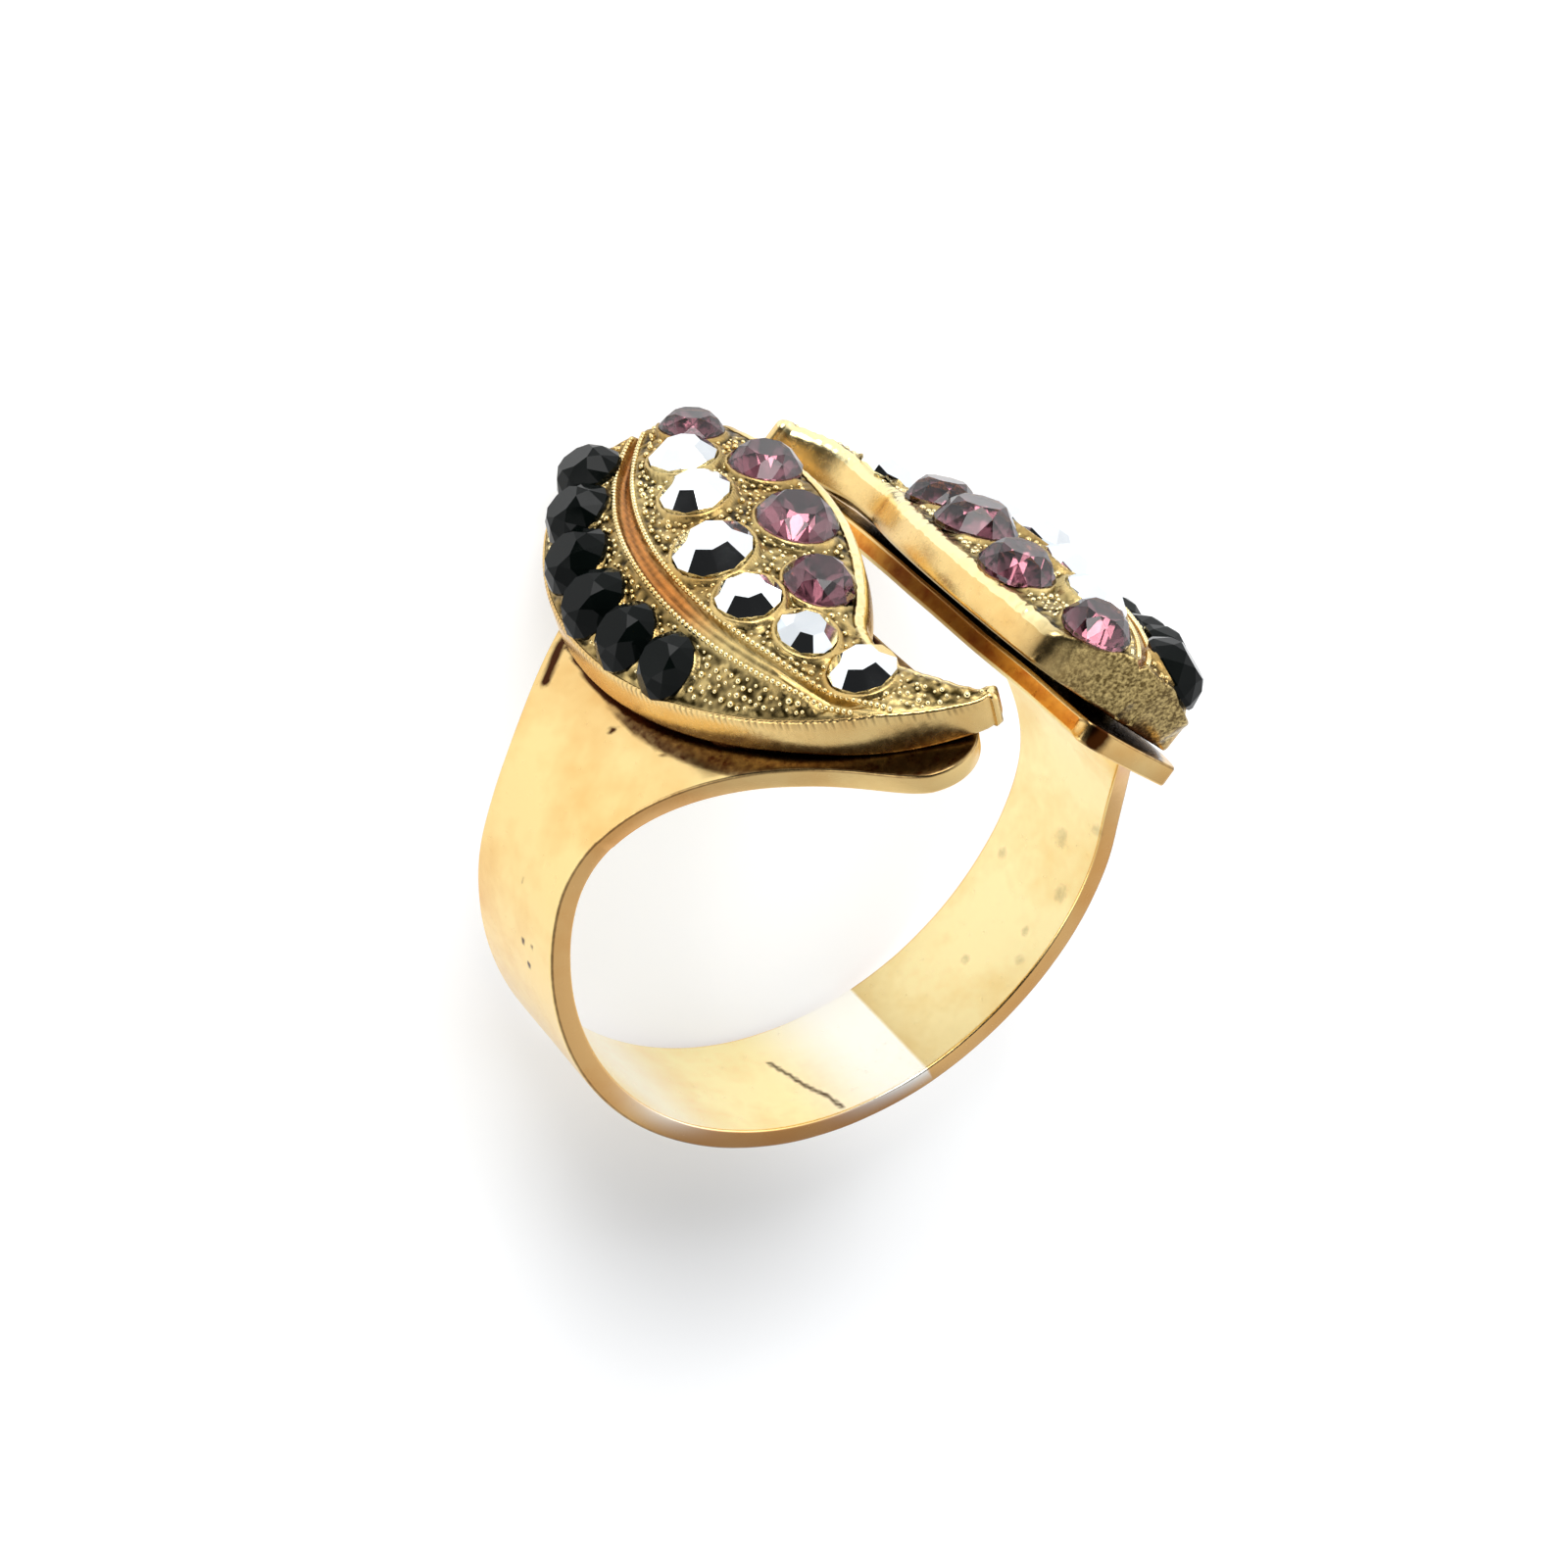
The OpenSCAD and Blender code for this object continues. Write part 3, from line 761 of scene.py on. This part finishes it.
# The first layers turn over from the top, and those past the foot layer are the lower rim
FILLET_TURNS, FOOT_LAYER = np.radians([18, 36, 54, 72, 90]), 7
NICK_PITCH, NICK_DEPTH, NICK_SHADE = 0.17, 0.03, 0.6
BLUNT_TAPER, TIP_DROP = 0.35, 0.33
SPECKLE_SHARE, SPECKLE_LOSS = 0.95, 0.25
LEAN_REACH, LEAN_STEPS = 0.5, 25


def rim_directions(ring):
    # Way along the rim at each of its points, and the mean outward direction over a
    # short stretch of the rim, by which the wall leans
    ahead, back = np.roll(ring, -1, 0), np.roll(ring, 1, 0)
    run = ahead - back
    out = np.stack([run[:, 1], -run[:, 0]], -1)
    out /= np.maximum(np.linalg.norm(out, axis=1), 1e-9)[:, None]
    steps = np.linalg.norm(ahead[:, :2] - ring[:, :2], axis=1)
    arc = np.concatenate([[0], np.cumsum(steps[:-1])])
    lap = arc[-1] + steps[-1]
    laps, thrice = np.concatenate([arc - lap, arc, arc + lap]), np.tile(out, (3, 1))
    out = sum(np.stack([np.interp(arc + shift, laps, thrice[:, axis]) for axis in (0, 1)], -1)
              for shift in np.linspace(-LEAN_REACH, LEAN_REACH, LEAN_STEPS))
    return arc, out / np.linalg.norm(out, axis=1)[:, None]


def wall_layers(ring, fillet, blunt):
    # Push outwards, height and tone of each layer of the wall, from the top's rim down; the darker
    # tone of the lowest layers is painted shade
    h = ring[:, 2]
    foot = h - fillet * 1.1
    drop = -TIP_DROP * smooth((ring[:, 0] - 4.5) / 2.8)
    taper = BLUNT_TAPER * blunt
    layers = [(fillet * math.sin(t), h - fillet * 1.1 * (1 - math.cos(t)), 1.0)
              for t in FILLET_TURNS]
    return layers + [
        (fillet - 0.2 * taper, foot * 0.8 + drop * 0.2, 1.0),
        (fillet - 0.5 * taper, foot * 0.5 + drop * 0.5, 1.0),
        (fillet - 0.9 * taper, drop + 0.12, 0.95),
        (fillet - 0.02 - taper, drop + 0.04, 0.7),
        (fillet - 0.06 - taper, drop, 0.5),
    ]


def plaque_wall(ring, inner, blunt):
    # Points, tone and speckle of the wall below the rim
    arc, out = rim_directions(ring)
    fillet = OUTER_FILLET + (INNER_FILLET - OUTER_FILLET) * inner
    nicked = smooth((2.8 - ring[:, 1]) / 0.8) * smooth((ring[:, 0] + 6) / 1.5) * (1 - inner)
    nick = nicked * np.maximum(0, np.sin(arc / NICK_PITCH * 2 * math.pi)) ** 2
    dull = 1 - 0.5 * smooth((-5.7 - ring[:, 0]) / 0.9) * (ring[:, 1] > 1)
    points, tones, speckles = [], [], []
    for depth, (push, height, shade) in enumerate(wall_layers(ring, fillet, blunt)):
        upper = depth < len(FILLET_TURNS)
        layer = np.empty((len(ring), 3))
        layer[:, :2] = ring[:, :2] + out * (push - (NICK_DEPTH * nick if upper else 0))[:, None]
        layer[:, 2] = height
        patchy = 0.35 * lattice_noise(ring[:, 1] - ring[:, 0], height, 0.35, 50)
        points.append(layer)
        tones.append(np.clip(shade * dull - (NICK_SHADE if upper else 0) * nick, 0, 1))
        speckled = SPECKLE_SHARE - SPECKLE_LOSS * (depth > FOOT_LAYER)
        speckles.append(smooth((-6.55 - ring[:, 0]) / 0.9 + patchy) * speckled)
    return points, tones, speckles


def plaque(side):
    top, tone, reddish = plaque_top()
    # The rim of the top, walked round once
    ids = np.arange(TOP_ROWS * TOP_COLS).reshape(TOP_ROWS, TOP_COLS)
    loop = np.concatenate([ids[:, 0], ids[-1, 1:], ids[-2::-1, -1], ids[0, -2:0:-1]])
    ring = top[loop]
    high_side = np.zeros(len(loop))
    high_side[TOP_ROWS + TOP_COLS - 1:2 * TOP_ROWS + TOP_COLS - 2] = 1
    inner = blurred(high_side * smooth((ring[:, 0] + 6.9) / 0.4), 5)
    blunt = smooth((-7.0 - ring[:, 0]) / 0.4)
    walls, wall_tones, speckles = plaque_wall(ring, inner, blunt)
    points = np.concatenate([top] + walls)
    faces = [tuple(f) for f in grid_faces(TOP_ROWS, TOP_COLS)]
    which = [0] * len(faces)
    # The inner side's upper fillet layers take the lighter gold as a painted highlight
    bright_lip = np.where((inner > 0.5) & (blunt <= 0.5), 2, 1).tolist()
    first, previous = len(top), loop
    for depth in range(len(walls)):
        here = first + np.arange(len(loop))
        quads = np.stack([previous, here, np.roll(here, -1), np.roll(previous, -1)], -1)
        faces += [tuple(f) for f in quads]
        which += bright_lip if depth < len(FILLET_TURNS) else [1] * len(loop)
        first, previous = first + len(loop), here
    faces.append(tuple(previous[::-1]))
    which.append(1)
    values = dict(tone=np.concatenate([tone] + wall_tones),
                  copper=np.concatenate([reddish, np.zeros(len(points) - len(top))]),
                  speckle=np.concatenate([np.zeros(len(top))] + speckles))
    add_piece(side + "_plaque", moved(points, plaque_matrix(side)), faces,
              [CAST_GOLD, WALL_GOLD, LIT_GOLD], ["shank_and_settings"], values,
              face_materials=which)


def ball(radius, rings=5, sectors=8):
    # Upper part of a bead, closed at its top
    pts, faces = [(0, 0, radius)], []
    for i in range(1, rings + 1):
        t = math.pi * 0.72 * i / rings
        for k in range(sectors):
            a = 2 * math.pi * (k + 0.5 * (i % 2)) / sectors
            pts.append((radius * math.sin(t) * math.cos(a), radius * math.sin(t) * math.sin(a),
                        radius * math.cos(t)))
    for k in range(sectors):
        faces.append((0, 1 + k, 1 + (k + 1) % sectors))
    for i in range(rings - 1):
        for k in range(sectors):
            a, b = 1 + i * sectors, 1 + (i + 1) * sectors
            faces.append((a + k, b + k, b + (k + 1) % sectors, a + (k + 1) % sectors))
    return np.array(pts), faces


def inside_plan(x, y, margin):
    low, high = plan_limits(np.array([x]))
    return low[0] + margin < y < high[0] - margin and -7.75 < x < 7.5


def clear_of_stones(x, y, margin):
    return all(math.hypot(x - s[0], y - s[1]) > s[2] * STONE_D / 2 + margin for s in STONES)


ROW_PITCH, ROW_BEAD, ROW_LIFT = 0.17, 0.085, 0.04
GRAINS, TRIES, GRAIN_SIZES = 420, 16000, (0.045, 0.11)


def bead_rows():
    # Milgrain beads along both lines of the channel
    spots = []
    for (cx, cy), r in ((CHANNEL_C, CHANNEL_R), (FIELD_C, FIELD_R)):
        pitch = ROW_PITCH / r
        for k in range(int(2 * math.pi / pitch)):
            x, y = cx + r * math.cos(k * pitch), cy + r * math.sin(k * pitch)
            if y < 4 and inside_plan(x, y, 0.12) and clear_of_stones(x, y, 0.0):
                spots.append((x, y, ROW_BEAD, ROW_LIFT))
    return spots


def scattered_beads(seed):
    rng = np.random.default_rng(seed)
    grown = []
    tries = 0
    while len(grown) < GRAINS and tries < TRIES:
        tries += 1
        x, y = rng.uniform(-7.8, 7.5), rng.uniform(-4.2, 4)
        size = rng.uniform(*GRAIN_SIZES)
        if not inside_plan(x, y, 0.2) or not clear_of_stones(x, y, 0.1):
            continue
        if min(channel_lines(np.float64(x), np.float64(y))) > -0.2:
            continue
        if any(math.hypot(x - g[0], y - g[1]) < size + g[2] + 0.02 for g in grown):
            continue
        grown.append((x, y, size, 0.0))
    return grown


def beads(side):
    points, faces, count = [], [], 0
    for x, y, size, lift in bead_rows() + scattered_beads(5 if side == "left" else 6):
        pts, fs = ball(size)
        pts = pts + np.array([x, y, float(metal_z(np.float64(x), np.float64(y))) + lift])
        points.append(pts)
        faces += [tuple(i + count for i in f) for f in fs]
        count += len(pts)
    points = np.concatenate(points)
    add_piece(side + "_beads", moved(points, plaque_matrix(side)), faces, [BEAD_GOLD],
              ["shank_and_settings"], dict(tone=np.ones(count)))


def rounded(value, power):
    return math.copysign(abs(value) ** power, value)


SOLDER_SPAN, SOLDER_ROWS, SOLDER_COLS = (-4.6, 4.9), 120, 24
SOLDER_LEVEL, SOLDER_H, SOLDER_TONE = -0.06, 0.2, 0.9


def solder(side):
    # The melted seam between a flared end and its plaque
    s = SIDES[side]
    r, c = side_curve(side)
    slope = math.radians(s["slope"])
    away = -(c[0] * math.cos(slope) - c[1] * math.sin(slope))
    points = []
    for i, x in enumerate(np.linspace(*SOLDER_SPAN, SOLDER_ROWS)):
        rim = OUTER_C[1] - math.sqrt((OUTER_EDGE_R - 0.15) ** 2 - (x - OUTER_C[0]) ** 2)
        low, high = max(away - 0.6, rim), away + 1.2
        shrink = math.sqrt(max(0.02, 1 - abs(2 * i / (SOLDER_ROWS - 1) - 1) ** 4))
        mid, half = (low + high) / 2, (high - low) / 2 * shrink
        for k in range(SOLDER_COLS):
            t = 2 * math.pi * k / SOLDER_COLS
            bulge = 1 + 0.08 * float(lattice_noise(x, t, 0.5, 44))
            y = mid + half * bulge * rounded(math.cos(t), 0.5)
            points.append((x - s["shift"], y, SOLDER_LEVEL + SOLDER_H * rounded(math.sin(t), 0.6)))
    faces = [tuple(f) for f in grid_faces(SOLDER_ROWS, SOLDER_COLS, closed=True)]
    faces.append(tuple(range(SOLDER_COLS))[::-1])
    faces.append(tuple((SOLDER_ROWS - 1) * SOLDER_COLS + k for k in range(SOLDER_COLS)))
    add_piece(side + "_solder", moved(points, plaque_matrix(side)), faces, [SOLDER],
              ["shank_and_settings"], dict(tone=np.full(len(points), SOLDER_TONE)))


# The stones

# Radius and height of each ring of corners, as shares of the stone's radius
TABLE, STAR, LOWER = (0.56, 0.5), (0.76, 0.358), (0.42, -0.42)
GIRDLE_TOP, GIRDLE_FOOT, CULET = (0.05, 0.06), -0.04, -0.66
BLACK_STRETCH = (1.28, 1.1, 1.6)
PURPLE_STRETCH = {"left": (1.05, 1.05, 1.1), "right": (1.1, 1.1, 1.4)}


def brilliant(side, s, name, materials, stretch):
    # The second material is for the facets below the girdle
    r = s[2] * STONE_D / 2
    polar = lambda radius, angle, z: (radius * r * math.cos(math.radians(angle)),
                                      radius * r * math.sin(math.radians(angle)), z * r)
    points = [polar(TABLE[0], 45 * k + 22.5, TABLE[1]) for k in range(8)]
    points += [polar(STAR[0], 45 * k, STAR[1]) for k in range(8)]
    points += [polar(1, 22.5 * j, GIRDLE_TOP[j % 2]) for j in range(16)]
    points += [polar(1, 22.5 * j, GIRDLE_FOOT) for j in range(16)]
    points += [polar(LOWER[0], 45 * k, LOWER[1]) for k in range(8)]
    points.append((0, 0, CULET * r))
    faces = [tuple(range(8))]
    for k in range(8):
        faces.append(((k + 7) % 8, 8 + k, k))
        faces.append((k, 8 + k, 16 + 2 * k + 1, 8 + (k + 1) % 8))
        faces.append((8 + k, 16 + (2 * k + 15) % 16, 16 + 2 * k))
        faces.append((8 + k, 16 + 2 * k, 16 + 2 * k + 1))
    for j in range(16):
        faces.append((16 + j, 32 + j, 32 + (j + 1) % 16, 16 + (j + 1) % 16))
    crown = len(faces)
    for k in range(8):
        faces.append((32 + (2 * k + 15) % 16, 48 + k, 32 + 2 * k))
        faces.append((32 + 2 * k, 48 + k, 32 + 2 * k + 1))
        faces.append((48 + k, 56, 48 + (k + 1) % 8, 32 + 2 * k + 1))
    which = [0] * crown + [1] * (len(faces) - crown)
    place = plaque_matrix(side) @ seat_matrix(s) @ Matrix.Diagonal(stretch + (1,))
    add_piece(name + "_cut", moved(points, place), faces, materials, [name],
              face_materials=which, round_shade=False)


def dress(name, material):
    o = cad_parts[name]
    if not o.material_slots:
        o.data.materials.append(material)
    for s in o.material_slots:
        s.material = material


def stones(side):
    for number, stone in enumerate(PURPLE, 1):
        brilliant(side, stone, "%s_purple_stone_%d" % (side, number), [PURPLE_GLASS, FOIL],
                  PURPLE_STRETCH[side])
    for number, stone in enumerate(BLACK, 1):
        brilliant(side, stone, "%s_black_stone_%d" % (side, number), [BLACK_GLASS, BLACK_GLASS],
                  BLACK_STRETCH)
    for number in range(1, len(MIRROR) + 1):
        dress("%s_mirror_stone_%d" % (side, number), MIRROR_GLASS)


# Camera, floor and light

FOCAL_PX, FRAME_PX, SENSOR = 3500, 1600, 36
CAMERA_AT = Vector((48.34, -19.515, 86.157)) * MM
CAMERA_RIGHT = Vector((-0.86031, 0.01622, 0.50951))
CAMERA_DOWN = Vector((0.11601, 0.97950, 0.16469))
FLOOR_SIZE, FLOOR_GLOW = 1.5, 0.95
# Painted light on the floor inside the ring and a painted shadow below its foot: middle, radius,
# amount
FLOOR_LIGHT_AND_SHADOW = [((-3.2, 2.8), 12, 0.36), ((1.8, 14.0), 8.5, -0.5), ((-3.5, 15.0), 7, -0.2)]
PAPER_TINTS = ((0.52, 0.53, 0.54, 1), (0.54, 0.54, 0.54, 1))
# Name, direction, distance, size, power, and whether it shows in reflections
LIGHTS = [
    ("key", (0.25, -0.75, 0.6), 0.16, 0.09, 0.13, True),
    ("soft_key", (0.2, -0.72, 0.66), 0.16, 0.08, 0.11, False),
    ("side", (0.9, 0.1, 0.35), 0.18, 0.09, 0.05, True),
    ("fill", (-0.8, -0.3, 0.5), 0.18, 0.12, 0.05, True),
]
ROOM_TINT = (0.97, 0.98, 1.0, 1)
DARK_PATCH, DARK_LIMITS = Vector((0.5, -0.35, 0.75)), (0.66, 0.8, 1.15, 0.02)
BRIGHT_SIDE, BRIGHT_LIMITS = Vector((-0.2, -0.9, 0.3)), (-0.6, 0.5, 0.68, 1.0)


def camera():
    data = bpy.data.cameras.new("camera")
    data.sensor_width = SENSOR
    data.lens = FOCAL_PX / FRAME_PX * SENSOR
    data.clip_start = 0.001
    o = bpy.data.objects.new("camera", data)
    right = CAMERA_RIGHT.normalized()
    up = (-CAMERA_DOWN + right * CAMERA_DOWN.dot(right)).normalized()
    back = right.cross(up)
    m = Matrix((right, up, back)).transposed().to_4x4()
    o.matrix_world = Matrix.Translation(CAMERA_AT) @ m
    bpy.context.scene.collection.objects.link(o)
    bpy.context.scene.camera = o


def floor():
    a = FLOOR_SIZE
    mesh = bpy.data.meshes.new("floor")
    mesh.from_pydata([(-a, -a, 0), (a, -a, 0), (a, a, 0), (-a, a, 0)], [], [(0, 1, 2, 3)])
    m, nodes, links, shader = new_material("floor_white")
    tint = mix_node(nodes, links, noise_node(nodes, links, 60, 2), *PAPER_TINTS)
    links.new(tint, shader.inputs["Base Color"])
    shader.inputs["Roughness"].default_value = 0.9
    links.new(tint, shader.inputs["Emission Color"])
    position = nodes.new("ShaderNodeNewGeometry").outputs["Position"]
    glow = FLOOR_GLOW
    # The glow is raised as painted light inside the ring and lowered as painted shadow below its
    # foot
    for centre, radius, amount in FLOOR_LIGHT_AND_SHADOW:
        away = vector_node(nodes, links, "DISTANCE", position, Vector(centre + (0,)) * MM)
        patch = range_node(nodes, links, away, 0, radius * MM, amount, 0, eased=True)
        glow = math_node(nodes, links, "ADD", patch, glow)
    links.new(glow, shader.inputs["Emission Strength"])
    mesh.materials.append(m)
    o = bpy.data.objects.new("floor", mesh)
    bpy.context.scene.collection.objects.link(o)


def room():
    # A bright room with a dark patch where the photographer stands
    w = bpy.data.worlds.new("room")
    w.use_nodes = True
    nodes, links = w.node_tree.nodes, w.node_tree.links
    way = nodes.new("ShaderNodeTexCoord").outputs["Generated"]
    toward = vector_node(nodes, links, "DOT_PRODUCT", way, DARK_PATCH.normalized())
    fade = range_node(nodes, links, toward, *DARK_LIMITS, eased=True)
    aside = vector_node(nodes, links, "DOT_PRODUCT", way, BRIGHT_SIDE.normalized())
    shade = range_node(nodes, links, aside, *BRIGHT_LIMITS)
    background = nodes["Background"]
    links.new(math_node(nodes, links, "MULTIPLY", fade, shade), background.inputs["Strength"])
    background.inputs["Color"].default_value = ROOM_TINT
    bpy.context.scene.world = w


def area_light(name, direction, distance, size, power, mirrored):
    data = bpy.data.lights.new(name, "AREA")
    data.size = size
    data.energy = power
    o = bpy.data.objects.new(name, data)
    o.visible_glossy = mirrored
    d = Vector(direction).normalized()
    o.location = d * distance
    o.rotation_euler = d.to_track_quat("Z", "Y").to_euler()
    bpy.context.scene.collection.objects.link(o)


band()
for which_side in SIDES:
    plaque(which_side)
    beads(which_side)
    solder(which_side)
    stones(which_side)
camera()
floor()
room()
for light in LIGHTS:
    area_light(*light)
bpy.context.scene.view_settings.view_transform = "Standard"
